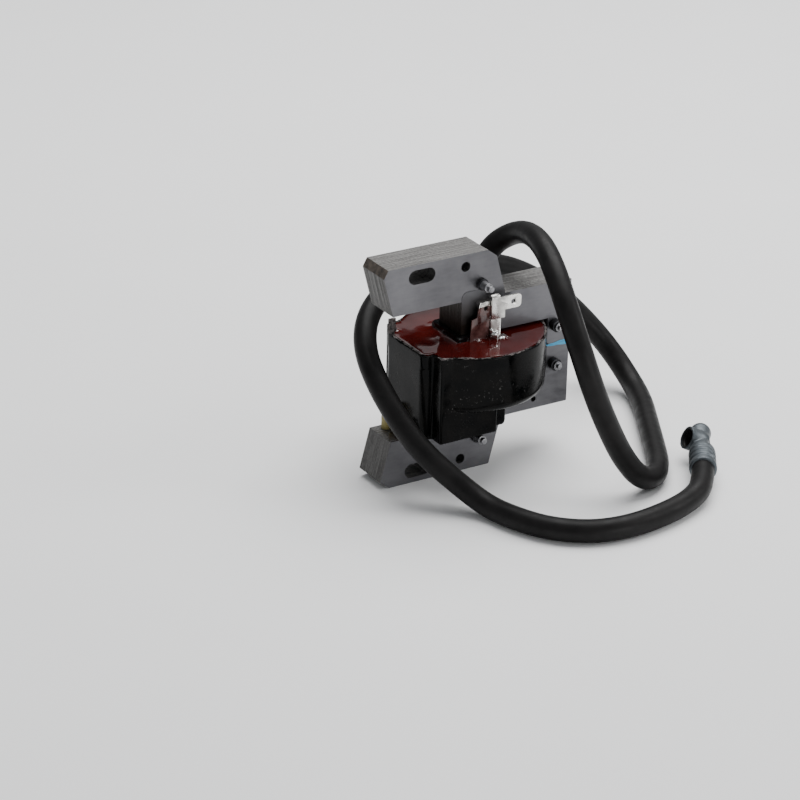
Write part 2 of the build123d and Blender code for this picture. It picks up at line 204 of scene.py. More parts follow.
class Shader:
    """A material and short ways to add nodes to it."""

    def __init__(self, name, base, roughness, metallic=0.0, specular=0.5, coat=0.0):
        self.material = bpy.data.materials.new(name)
        self.material.use_nodes = True
        self.tree = self.material.node_tree
        self.surface = self.tree.nodes["Principled BSDF"]
        self.set("Base Color", (*base, 1))
        self.set("Roughness", roughness)
        self.set("Metallic", metallic)
        self.set("Specular IOR Level", specular)
        self.set("Coat Weight", coat)
        self.place = self.node("ShaderNodeTexCoord").outputs["Object"]

    def set(self, socket, value):
        self.surface.inputs[socket].default_value = value

    def node(self, kind, **values):
        node = self.tree.nodes.new(kind)
        for name, value in values.items():
            setattr(node, name, value)
        return node

    def link(self, out, into):
        self.tree.links.new(out, into)
        return into

    def stretched(self, x, y, z):
        """The place in metres, scaled by its own factor on each axis."""
        mapping = self.node("ShaderNodeMapping")
        mapping.inputs["Scale"].default_value = (x, y, z)
        self.link(self.place, mapping.inputs["Vector"])
        return mapping.outputs["Vector"]

    def noise(self, scale, detail=3.0, roughness=0.55, place=None):
        node = self.node("ShaderNodeTexNoise")
        node.inputs["Scale"].default_value = scale
        node.inputs["Detail"].default_value = detail
        node.inputs["Roughness"].default_value = roughness
        self.link(place or self.place, node.inputs["Vector"])
        return node.outputs["Fac"]

    def ramp(self, value, *stops):
        """A colour ramp of (position, grey value or colour) stops."""
        node = self.node("ShaderNodeValToRGB")
        elements = node.color_ramp.elements
        while len(elements) < len(stops):
            elements.new(0.5)
        for element, (position, colour) in zip(elements, stops):
            element.position = position
            rgb = colour if isinstance(colour, tuple) else (colour,) * 3
            element.color = (*rgb, 1)
        self.link(value, node.inputs["Fac"])
        return node.outputs["Color"]

    def math(self, operation, a, b=0.5):
        node = self.node("ShaderNodeMath", operation=operation)
        for socket, value in zip(node.inputs, (a, b)):
            if isinstance(value, (int, float)):
                socket.default_value = value
            else:
                self.link(value, socket)
        return node.outputs["Value"]

    def mix(self, factor, a, b, blend="MIX"):
        node = self.node("ShaderNodeMix", data_type="RGBA", blend_type=blend)
        for socket, value in ((node.inputs[0], factor), (node.inputs[6], a), (node.inputs[7], b)):
            if isinstance(value, tuple):
                socket.default_value = (*value, 1)
            elif isinstance(value, (int, float)):
                socket.default_value = value
            else:
                self.link(value, socket)
        return node.outputs[2]

    def axis_of(self, vector, axis):
        node = self.node("ShaderNodeSeparateXYZ")
        self.link(vector, node.inputs[0])
        return node.outputs[axis]

    def normal(self):
        return self.node("ShaderNodeNewGeometry").outputs["Normal"]

    def colour(self, value):
        self.link(value, self.surface.inputs["Base Color"])

    def roughness(self, value):
        self.link(value, self.surface.inputs["Roughness"])

    def bump(self, height, distance, strength=1.0):
        node = self.node("ShaderNodeBump")
        node.inputs["Strength"].default_value = strength
        node.inputs["Distance"].default_value = distance
        self.link(height, node.inputs["Height"])
        if self.surface.inputs["Normal"].is_linked:
            self.link(self.surface.inputs["Normal"].links[0].from_socket, node.inputs["Normal"])
        self.link(node.outputs["Normal"], self.surface.inputs["Normal"])


def floor_material():
    shader = Shader("pale_floor", (0.93, 0.93, 0.93), 0.8, specular=0.1)
    shader.colour(shader.ramp(shader.noise(9), (0.3, 0.92), (0.7, 0.94)))
    return shader.material


def lamination_material(name, shade, low_darkening=0.0):
    """Steel sheet: satin faces, and stacked edges with fine streaks; edges that face left are painted
    darker, as painted shade. A shade below 1 gives a darker copy of the steel, as painted shade, and the
    third argument darkens the colour towards the low end.
    """

    def shaded(*rgb):
        return tuple(shade * v for v in rgb)

    shader = Shader(name, (0.2, 0.2, 0.21), 0.42, metallic=0.9)
    normal = shader.normal()
    face = shader.math("GREATER_THAN", shader.math("ABSOLUTE", shader.axis_of(normal, "Y")), 0.9)
    cloud = shader.noise(70, 4)
    grain = shader.noise(900, 3, place=shader.stretched(0.25, 1, 1))
    sheet = shader.ramp(
        shader.math("ADD", shader.math("MULTIPLY", cloud, 0.7), shader.math("MULTIPLY", grain, 0.3)),
        (0.35, shaded(0.112, 0.111, 0.119)),
        (0.65, shaded(0.165, 0.164, 0.173)),
    )
    streak = shader.noise(1, 3, place=shader.stretched(60, 2000, 60))
    speck = shader.noise(1300, 3)
    edge = shader.ramp(
        shader.math("ADD", shader.math("MULTIPLY", streak, 0.55), shader.math("MULTIPLY", speck, 0.45)),
        (0.36, shaded(0.085, 0.08, 0.078)),
        (0.5, shaded(0.16, 0.157, 0.152)),
        (0.66, shaded(0.26, 0.255, 0.25)),
    )
    # Edges that face left are mixed half-way to near black: painted shade.
    left = shader.math("LESS_THAN", shader.axis_of(normal, "X"), -0.5)
    painted_shade_left_edge = shader.mix(0.5, edge, (0.035, 0.034, 0.034))
    colour = shader.mix(face, shader.mix(left, edge, painted_shade_left_edge), sheet)
    # The colour turns dark brown towards the low end, with a ragged edge.
    if low_darkening:
        up = shader.axis_of(shader.place, "Z")
        height = shader.math("ADD", up, shader.math("MULTIPLY", cloud, 5 * MM))
        fade = shader.node("ShaderNodeMapRange")
        shader.link(height, fade.inputs["Value"])
        fade.inputs["From Min"].default_value = LOW_DARKENING_LEVELS[0] * MM
        fade.inputs["From Max"].default_value = LOW_DARKENING_LEVELS[1] * MM
        fade.inputs["To Min"].default_value = low_darkening
        fade.inputs["To Max"].default_value = 0
        colour = shader.mix(fade.outputs["Result"], colour, (0.022, 0.014, 0.010))
    shader.colour(colour)
    rough_face = shader.ramp(grain, (0.3, 0.36), (0.7, 0.48))
    rough_edge = shader.ramp(streak, (0.3, 0.65), (0.7, 0.48))
    shader.roughness(shader.mix(face, rough_edge, rough_face))
    shader.bump(grain, 0.02 * MM, 0.4)
    shader.bump(streak, 0.04 * MM, 0.5)
    return shader.material


def varnish_material():
    shader = Shader("brown_varnish", (0.10, 0.075, 0.05), 0.35, metallic=0.2, coat=0.4)
    cloud = shader.noise(420, 4)
    shader.colour(shader.ramp(cloud, (0.35, (0.022, 0.015, 0.011)), (0.68, (0.10, 0.078, 0.06))))
    shader.bump(cloud, 0.08 * MM, 0.6)
    return shader.material


def blue_paint_material():
    shader = Shader("blue_mark", (0.02, 0.28, 0.50), 0.4)
    brush = shader.noise(1, 3, place=shader.stretched(150, 900, 1400))
    shader.colour(shader.ramp(brush, (0.3, (0.02, 0.22, 0.42)), (0.7, (0.06, 0.42, 0.66))))
    shader.bump(brush, 0.03 * MM, 0.7)
    return shader.material


def rivet_material():
    shader = Shader("rivet_steel", (0.5, 0.49, 0.48), 0.3, metallic=1.0)
    turning = shader.noise(1, 2, place=shader.stretched(300, 5000, 300))
    shader.colour(shader.ramp(turning, (0.3, (0.17, 0.17, 0.18)), (0.7, (0.36, 0.36, 0.37))))
    shader.roughness(shader.ramp(turning, (0.3, 0.48), (0.7, 0.34)))
    shader.bump(turning, 0.03 * MM, 0.4)
    return shader.material


# Dark steel for the rivets' bosses: a black finish, and painted shade on the pole rivets.
def dark_rivet_material():
    shader = Shader("black_boss_and_shade", (0.06, 0.06, 0.065), 0.35, metallic=0.8)
    cloud = shader.noise(600, 3)
    shader.colour(shader.ramp(cloud, (0.35, (0.012, 0.012, 0.014)), (0.7, (0.06, 0.06, 0.065))))
    shader.roughness(shader.ramp(cloud, (0.3, 0.28), (0.7, 0.5)))
    return shader.material


def shell_material():
    """Black moulded plastic with scuffs and pale specks. Its cut rim is grey."""
    shader = Shader("black_shell", (0.006, 0.006, 0.007), 0.25, specular=0.06)
    height = shader.axis_of(shader.place, "Z")
    ragged = shader.math("MULTIPLY", shader.noise(700, 2), 1.2 * MM)
    rim = shader.math("GREATER_THAN", shader.math("ADD", height, ragged), GREY_RIM_LEVEL * MM)
    cloud = shader.noise(160, 4)
    body = shader.ramp(cloud, (0.35, (0.0015, 0.0018, 0.002)), (0.72, (0.0065, 0.006, 0.0055)))
    specks = shader.ramp(shader.noise(1300, 3, 0.5), (0.63, 0.0), (0.71, 0.8))
    patches = shader.ramp(shader.noise(110, 2), (0.53, 0.0), (0.66, 1.0))
    dusty = shader.math("MULTIPLY", specks, patches)
    body = shader.mix(dusty, body, (0.09, 0.088, 0.085))
    rim_colour = shader.ramp(
        shader.noise(900),
        (0.38, (0.03, 0.026, 0.026)),
        (0.66, (0.19, 0.17, 0.165)),
    )
    shader.colour(shader.mix(rim, body, rim_colour))
    gloss = shader.ramp(cloud, (0.4, 0.10), (0.62, 0.30))
    shader.roughness(shader.mix(rim, gloss, (0.7, 0.7, 0.7)))
    shader.bump(shader.noise(55, 2), 0.5 * MM, 0.25)
    shader.bump(shader.noise(380, 3), 0.06 * MM, 0.45)
    return shader.material


def resin_material():
    shader = Shader("potting_resin", (0.05, 0.004, 0.003), 0.05, specular=0.5, coat=0.5)
    shader.set("Coat Roughness", 0.03)
    cloud = shader.noise(90, 3)
    shader.colour(shader.ramp(cloud, (0.3, (0.05, 0.0035, 0.003)), (0.7, (0.095, 0.009, 0.007))))
    shader.bump(shader.noise(60, 2), 0.35 * MM, 0.22)
    return shader.material


def collar_material():
    shader = Shader("black_collar", (0.003, 0.003, 0.003), 0.14, specular=0.35)
    cloud = shader.noise(500, 3)
    shader.colour(shader.ramp(cloud, (0.4, (0.0015, 0.0018, 0.002)), (0.75, (0.009, 0.009, 0.01))))
    shader.bump(cloud, 0.12 * MM, 0.5)
    return shader.material


def tin_material():
    shader = Shader("tin_plate", (0.72, 0.71, 0.68), 0.3, metallic=1.0)
    cloud = shader.noise(260, 4)
    shader.colour(shader.ramp(cloud, (0.3, (0.58, 0.565, 0.54)), (0.7, (0.80, 0.79, 0.76))))
    shader.roughness(shader.ramp(cloud, (0.3, 0.38), (0.7, 0.2)))
    shader.bump(shader.noise(800, 3), 0.02 * MM, 0.5)
    return shader.material


def stained_tin_material():
    """Tin plate that resin has run over, bright only along its top."""
    shader = Shader("stained_tin", (0.05, 0.01, 0.008), 0.16, metallic=0.3, specular=0.6)
    cloud = shader.noise(240, 4)
    ragged = shader.math("MULTIPLY", cloud, 2.4 * MM)
    height = shader.math("ADD", shader.axis_of(shader.place, "Z"), ragged)
    bare = shader.math("GREATER_THAN", height, BARE_TIN_LEVEL * MM)
    low_darkening = shader.ramp(cloud, (0.35, (0.035, 0.009, 0.008)), (0.65, (0.16, 0.075, 0.068)))
    shader.colour(shader.mix(bare, low_darkening, (0.66, 0.65, 0.62)))
    shader.link(bare, shader.surface.inputs["Metallic"])
    shader.roughness(shader.mix(bare, (0.12, 0.12, 0.12), (0.24, 0.24, 0.24)))
    shader.bump(cloud, 0.1 * MM, 0.5)
    return shader.material


def solder_material():
    shader = Shader("solder", (0.75, 0.75, 0.74), 0.18, metallic=1.0)
    cloud = shader.noise(700, 3)
    shader.colour(shader.ramp(cloud, (0.35, (0.55, 0.54, 0.53)), (0.65, (0.85, 0.85, 0.84))))
    shader.bump(cloud, 0.08 * MM, 0.6)
    return shader.material


def rubber_material():
    shader = Shader("lead_rubber", (0.008, 0.008, 0.008), 0.42, specular=0.12)
    cloud = shader.noise(120, 4)
    shader.colour(shader.ramp(cloud, (0.3, (0.005, 0.0048, 0.0048)), (0.7, (0.011, 0.0102, 0.0102))))
    shader.roughness(shader.ramp(shader.noise(300, 4), (0.3, 0.36), (0.7, 0.52)))
    shader.bump(shader.noise(1800, 2), 0.03 * MM, 0.4)
    return shader.material


def zinc_material():
    shader = Shader("zinc_plate", (0.2, 0.22, 0.24), 0.5, metallic=0.85)
    cloud = shader.noise(240, 4)
    shader.colour(shader.ramp(cloud, (0.3, (0.065, 0.075, 0.083)), (0.7, (0.135, 0.15, 0.162))))
    shader.roughness(shader.ramp(cloud, (0.3, 0.58), (0.7, 0.4)))
    shader.bump(shader.noise(900, 3), 0.04 * MM, 0.5)
    return shader.material


def plain_material(name, dark, light, roughness, metallic=0.0, scale=300):
    """A small or inner piece: one colour with a little variation and grain."""
    shader = Shader(name, light, roughness, metallic=metallic)
    cloud = shader.noise(scale, 3)
    shader.colour(shader.ramp(cloud, (0.3, dark), (0.7, light)))
    shader.bump(cloud, 0.03 * MM, 0.5)
    return shader.material


def winding_material(name, dark, light, wire):
    """Enamelled wire wound around Z, with one ridge for each turn, and painted shade in the grooves
    between turns.
    """
    shader = Shader(name, light, 0.3, metallic=0.8)
    turn = shader.math("MULTIPLY", shader.axis_of(shader.place, "Z"), 2 * math.pi / wire)
    ridge_and_groove_shade = shader.math("ABSOLUTE", shader.math("SINE", shader.math("MULTIPLY", turn, 0.5)))
    # Dark in the grooves between turns, light on the crests: painted shade.
    shader.colour(shader.ramp(ridge_and_groove_shade, (0.1, dark), (0.9, light)))
    shader.bump(ridge_and_groove_shade, wire / 2, 0.7)
    return shader.material


# Mesh helpers

def mesh_object(name, points, faces, materials, smooth=None):
    """A mesh object. Edges that turn less than smooth, an angle in degrees, are shaded smooth."""
    mesh = bpy.data.meshes.new(name)
    mesh.from_pydata([tuple(p) for p in points], [], faces)
    mesh.validate()
    mesh.update()
    for material in materials:
        mesh.materials.append(material)
    obj = add_object(name, mesh)
    if smooth:
        shade(obj, smooth)
    return obj


def shade(obj, angle):
    mesh = obj.data
    mesh.polygons.foreach_set("use_smooth", [True] * len(mesh.polygons))
    mesh.set_sharp_from_angle(angle=math.radians(angle))


def apply_modifiers(obj):
    shape = obj.evaluated_get(bpy.context.evaluated_depsgraph_get())
    mesh = bpy.data.meshes.new_from_object(shape)
    obj.modifiers.clear()
    obj.data = mesh


def joined(name, objects):
    """One object with the meshes of several, which are removed."""
    mesh = bpy.data.meshes.new(name)
    whole = bmesh.new()
    for part in objects:
        whole.from_mesh(part.data)
        bpy.data.objects.remove(part)
    whole.to_mesh(mesh)
    whole.free()
    obj = add_object(name, mesh)
    return obj


def melted(obj, voxel, smoothing):
    """The volume of overlapping solids as one skin, with its corners rounded by smoothing."""
    remesh = obj.modifiers.new("skin", "REMESH")
    remesh.mode = "VOXEL"
    remesh.voxel_size = voxel
    soften = obj.modifiers.new("soften", "SMOOTH")
    soften.factor = 0.5
    soften.iterations = smoothing
    apply_modifiers(obj)
    return obj


def cut_away(obj, cutter):
    """Cuts the cutter's shape out of an object and removes the cutter."""
    cut = obj.modifiers.new("cut", "BOOLEAN")
    cut.operation = "DIFFERENCE"
    cut.object = cutter
    apply_modifiers(obj)
    bpy.data.objects.remove(cutter)


def roughened(obj, scale, height):
    """Moves each point along its normal by noise."""
    mesh = obj.data
    moved = [v.co + v.normal * height * noise.noise(v.co * scale) for v in mesh.vertices]
    for vertex, place in zip(mesh.vertices, moved):
        vertex.co = place
    mesh.update()
    return obj


def bevelled(obj, width, segments=2, angle=35):
    bevel = obj.modifiers.new("edges", "BEVEL")
    bevel.width = width
    bevel.segments = segments
    bevel.limit_method = "ANGLE"
    bevel.angle_limit = math.radians(angle)
    bevel.use_clamp_overlap = True
    apply_modifiers(obj)
    return obj


def prism(name, loops, depth, materials=()):
    """A solid between closed loops, the first around the others, and the same loops moved by depth."""
    points = [point for loop in loops for point in loop]
    count = len(points)
    faces = [tuple(face) for face in tessellate_polygon(loops)]
    faces += [tuple(count + i for i in reversed(face)) for face in faces]
    start = 0
    for loop in loops:
        for i in range(len(loop)):
            j = (i + 1) % len(loop)
            faces.append((start + i, start + j, count + start + j, count + start + i))
        start += len(loop)
    obj = mesh_object(name, points + [point + depth for point in points], faces, materials)
    recalculate_normals(obj)
    return obj


def recalculate_normals(obj):
    whole = bmesh.new()
    whole.from_mesh(obj.data)
    bmesh.ops.recalc_face_normals(whole, faces=whole.faces)
    whole.to_mesh(obj.data)
    whole.free()


def lathe(name, profile, origin, direction, materials=(), steps=56, stretch=(1, 1)):
    """A turned solid: a profile of (radius, height) around a direction."""
    turn = Vector(direction).to_track_quat("Z", "Y").to_matrix()
    points = []
    for radius, height in profile:
        for step in range(steps):
            angle = 2 * math.pi * step / steps
            across = radius * stretch[0] * math.cos(angle)
            along = radius * stretch[1] * math.sin(angle)
            points.append(Vector(origin) + turn @ Vector((across, along, height)))
    faces = [tuple(reversed(range(steps)))]
    for row in range(len(profile) - 1):
        for step in range(steps):
            after = (step + 1) % steps
            first = row * steps
            faces.append((first + step, first + after, first + steps + after, first + steps + step))
    last = (len(profile) - 1) * steps
    faces.append(tuple(range(last, last + steps)))
    obj = mesh_object(name, points, faces, materials)
    recalculate_normals(obj)
    return obj


def outline_loops(node):
    """The closed loops around a CAD node's flat front face, the largest first."""
    whole = bmesh.new()
    whole.from_mesh(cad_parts[node].data)
    bmesh.ops.remove_doubles(whole, verts=whole.verts, dist=0.001 * MM)
    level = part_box(node)[0].y
    flat = {f for f in whole.faces if all(abs(v.co.y - level) < 0.01 * MM for v in f.verts)}
    rim = {e for e in whole.edges if len(flat.intersection(e.link_faces)) == 1}
    loops = []
    while rim:
        edge = rim.pop()
        loop, vertex = [edge.verts[0].co.copy()], edge.verts[1]
        while True:
            onward = next((e for e in vertex.link_edges if e in rim), None)
            loop.append(vertex.co.copy())
            if onward is None:
                break
            rim.discard(onward)
            vertex = onward.other_vert(vertex)
        loops.append(loop)
    whole.free()
    loops.sort(key=lambda loop: -loop_size(loop))
    return loops


def loop_size(loop):
    across = [point.x for point in loop]
    up = [point.z for point in loop]
    return max(across) - min(across) + max(up) - min(up)


def place_on_root(obj, slot, *nodes):
    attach(obj, "root")
    if nodes:
        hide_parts(*nodes)
    return obj


# Lamination stack

def build_stack_part(node, name, material, gap=0.0):
    """A part of the stack as separate sheets, each a little out of line. Gap narrows the outline."""
    low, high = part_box(node)
    middle = (low + high) / 2
    size = high - low
    fit = Matrix.Diagonal(((size.x - gap) / size.x, 1, (size.z - gap) / size.z))
    loops = [[middle + fit @ (point - middle) for point in loop] for loop in outline_loops(node)]
    pitch = (high.y - low.y) / SHEET_COUNT
    shake = random.Random(node)
    sheets = []
    for index in range(SHEET_COUNT):
        slip = Vector((shake.uniform(-1, 1), 0, shake.uniform(-1, 1))) * SHEET_JITTER
        if index in (0, SHEET_COUNT - 1):
            slip = Vector((0, 0, 0))
        start = Vector((0, index * pitch, 0)) + slip
        moved = [[point + start for point in loop] for loop in loops]
        sheets.append(prism("sheet", moved, Vector((0, pitch - SHEET_GAP, 0))))
    stack = joined(name, sheets)
    stack.data.materials.append(material)
    bevelled(stack, 0.08 * MM, 1, 60)
    if node == "upper_pole_leg":
        stack.data.materials.append(varnish)
        for face in stack.data.polygons:
            chamfered = face.center.x < low.x + 2.3 * MM and face.normal.x < -0.3 and face.normal.z > 0.3
            if chamfered:
                face.material_index = 1
    return place_on_root(stack, "lamination", node)


def build_stack():
    for node in ("upper_pole_leg", "lower_pole_leg", "upper_yoke_half", "lower_yoke_half"):
        build_stack_part(node, node + "_sheets", lamination)
    build_stack_part("core_leg", "core_leg_sheets", shaded_core_lamination, gap=0.3 * MM)


def build_blue_mark():
    """Brush stroke of blue paint on the front of the yoke."""
    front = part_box("core_leg")[0].y - 0.09 * MM
    upper = [(28.5, 40.15), (30.0, 40.5), (32.0, 40.55), (34.5, 41.0), (36.5, 41.05), (38.3, 41.2)]
    lower = [(38.3, 39.2), (36.0, 39.15), (34.0, 39.5), (31.5, 39.5), (29.5, 39.75)]
    outline = [Vector((x * MM, front, z * MM)) for x, z in upper + lower]
    mark = prism("blue_mark", [outline], Vector((0, 0.06 * MM, 0)), [blue_paint])
    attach(mark, "root")


def build_rivets():
    """Turned rivets: a round head at the back, a dark boss and a bright tip at the front."""
    rows = {
        "pole_rivets": [(-POLE_RIVET_ROW, 0.8), (POLE_RIVET_ROW, 1.0)],
        "yoke_rivets": [(-YOKE_RIVET_ROW, 1.0), (YOKE_RIVET_ROW, 1.0)],
    }
    core_low, core_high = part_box("core_leg")
    middle = (core_low.z + core_high.z) / 2
    for node, places in rows.items():
        low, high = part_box(node)
        x = (low.x + high.x) / 2
        for number, (row, proud) in enumerate(places):
            origin = Vector((x, core_low.y, middle + row * MM))
            rivet = build_rivet(f"{node[:-1]}_{number + 1}", origin, proud, node == "pole_rivets")
            place_on_root(rivet, "rivet_steel", *([node] if number == 0 else []))


def build_rivet(name, origin, proud, tall):
    steps = ((2.1, 1.6), (1.65, 3.4), (1.1, 1.7)) if tall else ((2.2, 2.6), (1.6, 1.0), (0.95, 1.2))
    core_low, core_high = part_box("core_leg")
    thickness = core_high.y - core_low.y
    profile = [(0.4 * MM, -thickness - 1.35 * MM), (1.7 * MM, -thickness - 1.1 * MM)]
    profile += [(2.45 * MM, -thickness - 0.3 * MM), (2.5 * MM, -thickness)]
    profile += [(1.4 * MM, -thickness), (1.4 * MM, 0)]
    height = 0
    for radius, length in steps:
        profile.append((radius * MM, height))
        height += length * proud * MM
        profile.append((radius * MM, height))
    profile.append((0.2 * MM, height + 0.02 * MM))
    rivet = lathe(name, profile, origin, (0, -1, 0), [rivet_steel, black_boss_and_shade])
    bevelled(rivet, 0.22 * MM, 3, 30)
    # The boss is dark: a black finish on the yoke rivets, and painted shade around the base of the pole
    # rivets.
    boss_end = origin.y - steps[0][1] * proud * MM * 1.25
    for face in rivet.data.polygons:
        if origin.y - 0.1 * MM > face.center.y > boss_end:
            face.material_index = 1
    shade(rivet, 40)
    return rivet


# Shell

def plan_radius(angle, inset, shapes):
    """How far the shell's outline is from its plan centre, at an angle."""
    ray = Vector((math.cos(angle), math.sin(angle), 0))
    reach = 0
    for low, high in shapes:
        limits = []
        for axis in (0, 1):
            edge = high[axis] - inset if ray[axis] > 0 else low[axis] + inset
            if abs(ray[axis]) > 1e-6:
                limits.append((edge - PLAN_CENTRE[axis]) / ray[axis])
        reach = max(reach, min(limits))
    left = shapes[0][0][0] + inset
    corner = Vector((left + CORNER, math.copysign(shapes[0][1][1] - inset - CORNER, ray.y), 0))
    past = PLAN_CENTRE + ray * reach
    if past.x < corner.x and abs(past.y) > abs(corner.y):
        along = ray.dot(corner - PLAN_CENTRE)
        across = (corner - PLAN_CENTRE).length_squared - along ** 2
        reach = along + math.sqrt(max(CORNER ** 2 - across, 0))
    return max(reach, drum_reach(ray, inset))


def drum_reach(ray, inset):
    rx, ry = DRUM_RADII[0] - inset, DRUM_RADII[1] - inset
    start = PLAN_CENTRE.x - DRUM_CENTRE
    a = (ray.x / rx) ** 2 + (ray.y / ry) ** 2
    b = 2 * start * ray.x / rx ** 2
    c = (start / rx) ** 2 - 1
    return (-b + math.sqrt(b * b - 4 * a * c)) / (2 * a)


def shell_shapes():
    """The side body and the pockets in plan, as (low, high) corners."""
    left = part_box("coil_shell")[0].x
    side = (left, -SIDE_REACH * MM), (SIDE_RIGHT * MM, SIDE_REACH * MM)
    pockets = (POCKET_LEFT * MM, -POCKET_REACH * MM), (POCKET_RIGHT * MM, POCKET_REACH * MM)
    return [side, pockets]


def plan_loop(inset, height, steps=420):
    shapes = shell_shapes()
    loop = []
    for step in range(steps):
        angle = 2 * math.pi * step / steps
        reach = plan_radius(angle, inset, shapes)
        loop.append(PLAN_CENTRE + Vector((math.cos(angle) * reach, math.sin(angle) * reach, height)))
    return loop


def slab(name, low, high):
    """A solid between two corners, for melting together with others."""
    x0, y0, z0 = low
    x1, y1, z1 = high
    loop = [Vector((x, y, z0)) * MM for x, y in ((x0, y0), (x1, y0), (x1, y1), (x0, y1))]
    return prism(name, [loop], Vector((0, 0, z1 - z0)) * MM)


def side_outline(height):
    """The side body in plan, with round corners on its left."""
    corner = []
    for sign in (-1, 1):
        turns = [math.pi / 2 * step / 6 for step in range(7)]
        arc = [(-22.2 - 2.5 * math.sin(turn), sign * (10 + 2.5 * math.cos(turn))) for turn in turns]
        corner += arc if sign < 0 else arc[::-1]
    corner += [(-7.0, SIDE_REACH), (-7.0, -SIDE_REACH)]
    return [Vector((x * MM, y * MM, height)) for x, y in corner]


def foot_outline(y, floor, drum_floor):
    """The foot beside a pocket, seen from the front, with a round corner at its lower right."""
    turns = [math.pi / 2 * step / 5 for step in range(6)]
    corner = [(6.1 + 1.5 * math.sin(turn), floor + 1.8 - 1.5 * math.cos(turn)) for turn in turns]
    outline = [(0, drum_floor + 1), (0, floor + 0.3)] + corner + [(7.6, drum_floor + 1)]
    return [Vector((x * MM, y * MM, z * MM)) for x, z in outline]


def lip_outline(floor, top):
    """A thin rib at the drum's right front, from the rim down and around under the floor."""
    outer = [(27.7, top - 1), (27.7, floor + 3.6), (27.1, floor + 1.6)]
    outer += [(25.6, floor + 0.3), (23, floor - 0.5)]
    inner = [(8, floor - 0.5), (8, floor + 0.6), (23, floor + 0.8)]
    inner += [(25.8, floor + 3.4), (25.8, top - 1)]
    return [Vector((x * MM, -8.7 * MM, z * MM)) for x, z in outer + inner]


def build_shell():
    """Shell melted from simple solids, with a raised wall at the back left, and cut for the stack."""
    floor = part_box("coil_shell")[0].z / MM
    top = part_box("epoxy_potting")[1].z / MM + 0.4
    drum_floor = top - DRUM_HEIGHT
    wall = [plan_loop(inset, (top - 5) * MM) for inset in (0, RIM_WALL)]
    solids = [
        prism("rim", wall, Vector((0, 0, 5 * MM))),
        lathe(
            "drum",
            [(d * MM, h * MM) for d, h in drum_profile(drum_floor, top - RIM_DEPTH)],
            (DRUM_CENTRE, 0, 0),
            (0, 0, 1),
            steps=120,
            stretch=(1, DRUM_DEPTH_RADIUS / DRUM_WIDTH_RADIUS),
        ),
        prism("side", [side_outline(floor * MM)], Vector((0, 0, top - RIM_DEPTH - floor)) * MM),
        prism("lip", [lip_outline(drum_floor, top)], Vector((0, 0.8, 0)) * MM),
        slab("raised_corner", (-24.5, 8.6, top - 5), (-23.3, 11.5, top + 4.6)),
        slab("raised_end", (-24.0, 11.2, top - 5), (-21.2, 12.3, top + 4.9)),
        slab(
            "front_pocket",
            (POCKET_LEFT, -POCKET_REACH, floor),
            (POCKET_RIGHT, -STACK_REACH, top - RIM_DEPTH),
        ),
        slab(
            "back_pocket",
            (POCKET_LEFT, STACK_REACH, floor),
            (POCKET_RIGHT, POCKET_REACH, top - RIM_DEPTH),
        ),
        prism("front_foot", [foot_outline(-15, floor, drum_floor)], Vector((0, 7.8, 0)) * MM),
        prism("back_foot", [foot_outline(STACK_REACH, floor, drum_floor)], Vector((0, 7.8, 0)) * MM),
    ]
    shell = melted(joined("shell", solids), SHELL_VOXEL, 2)
    cutter = slab("stack_slot", (-7.0, -STACK_REACH, 0), (39, STACK_REACH, drum_floor + 2))
    cut_away(shell, cutter)
    for vertex in shell.data.vertices:
        lift = min(1, max(0, (vertex.co.z / MM - (top - 2)) / 2))
        wave = noise.noise(vertex.co * 200) + 0.2 * noise.noise(vertex.co * 800)
        vertex.co.z += lift * 0.9 * MM * wave
    roughened(shell, 90, 0.14 * MM)
    shell.data.materials.append(black_shell)
    shade(shell, 60)
    return place_on_root(shell, "shell_plastic", "coil_shell")


def drum_profile(floor, top):
    radius, edge = DRUM_WIDTH_RADIUS, DRUM_EDGE
    profile = [(0.5, floor), (radius - edge, floor)]
    for step in range(1, 9):
        angle = math.pi / 2 * step / 8
        profile.append((radius - edge + edge * math.sin(angle), floor + edge - edge * math.cos(angle)))
    profile += [(radius, top), (0.5, top)]
    return profile


# Resin

def resin_height(x, y):
    """Height of the resin over its level: it climbs what it touches. Millimetres."""
    wall_x, wall_y = abs(x + 0.2) - 6.5, abs(y) - 7.0
    to_core = math.hypot(max(wall_x - 1.9, 0), max(wall_y - 1.9, 0))
    rise = 0.5 * math.exp(-to_core / 0.8)
    feet = ((-0.8, -9.4, 1.2, 1.0), (5.6, -9.8, 1.5, 1.1), (8.4, -11.6, 1.2, 0.7))
    for foot_x, foot_y, spread, height in feet:
        along = (x - foot_x) ** 2 / (2 * spread ** 2)
        across = (y - foot_y) ** 2 / (2 * 0.9 ** 2)
        rise += height * math.exp(-(along + across))
    return rise + 0.14 * noise.noise(Vector((x, y, 0)) * 0.16)


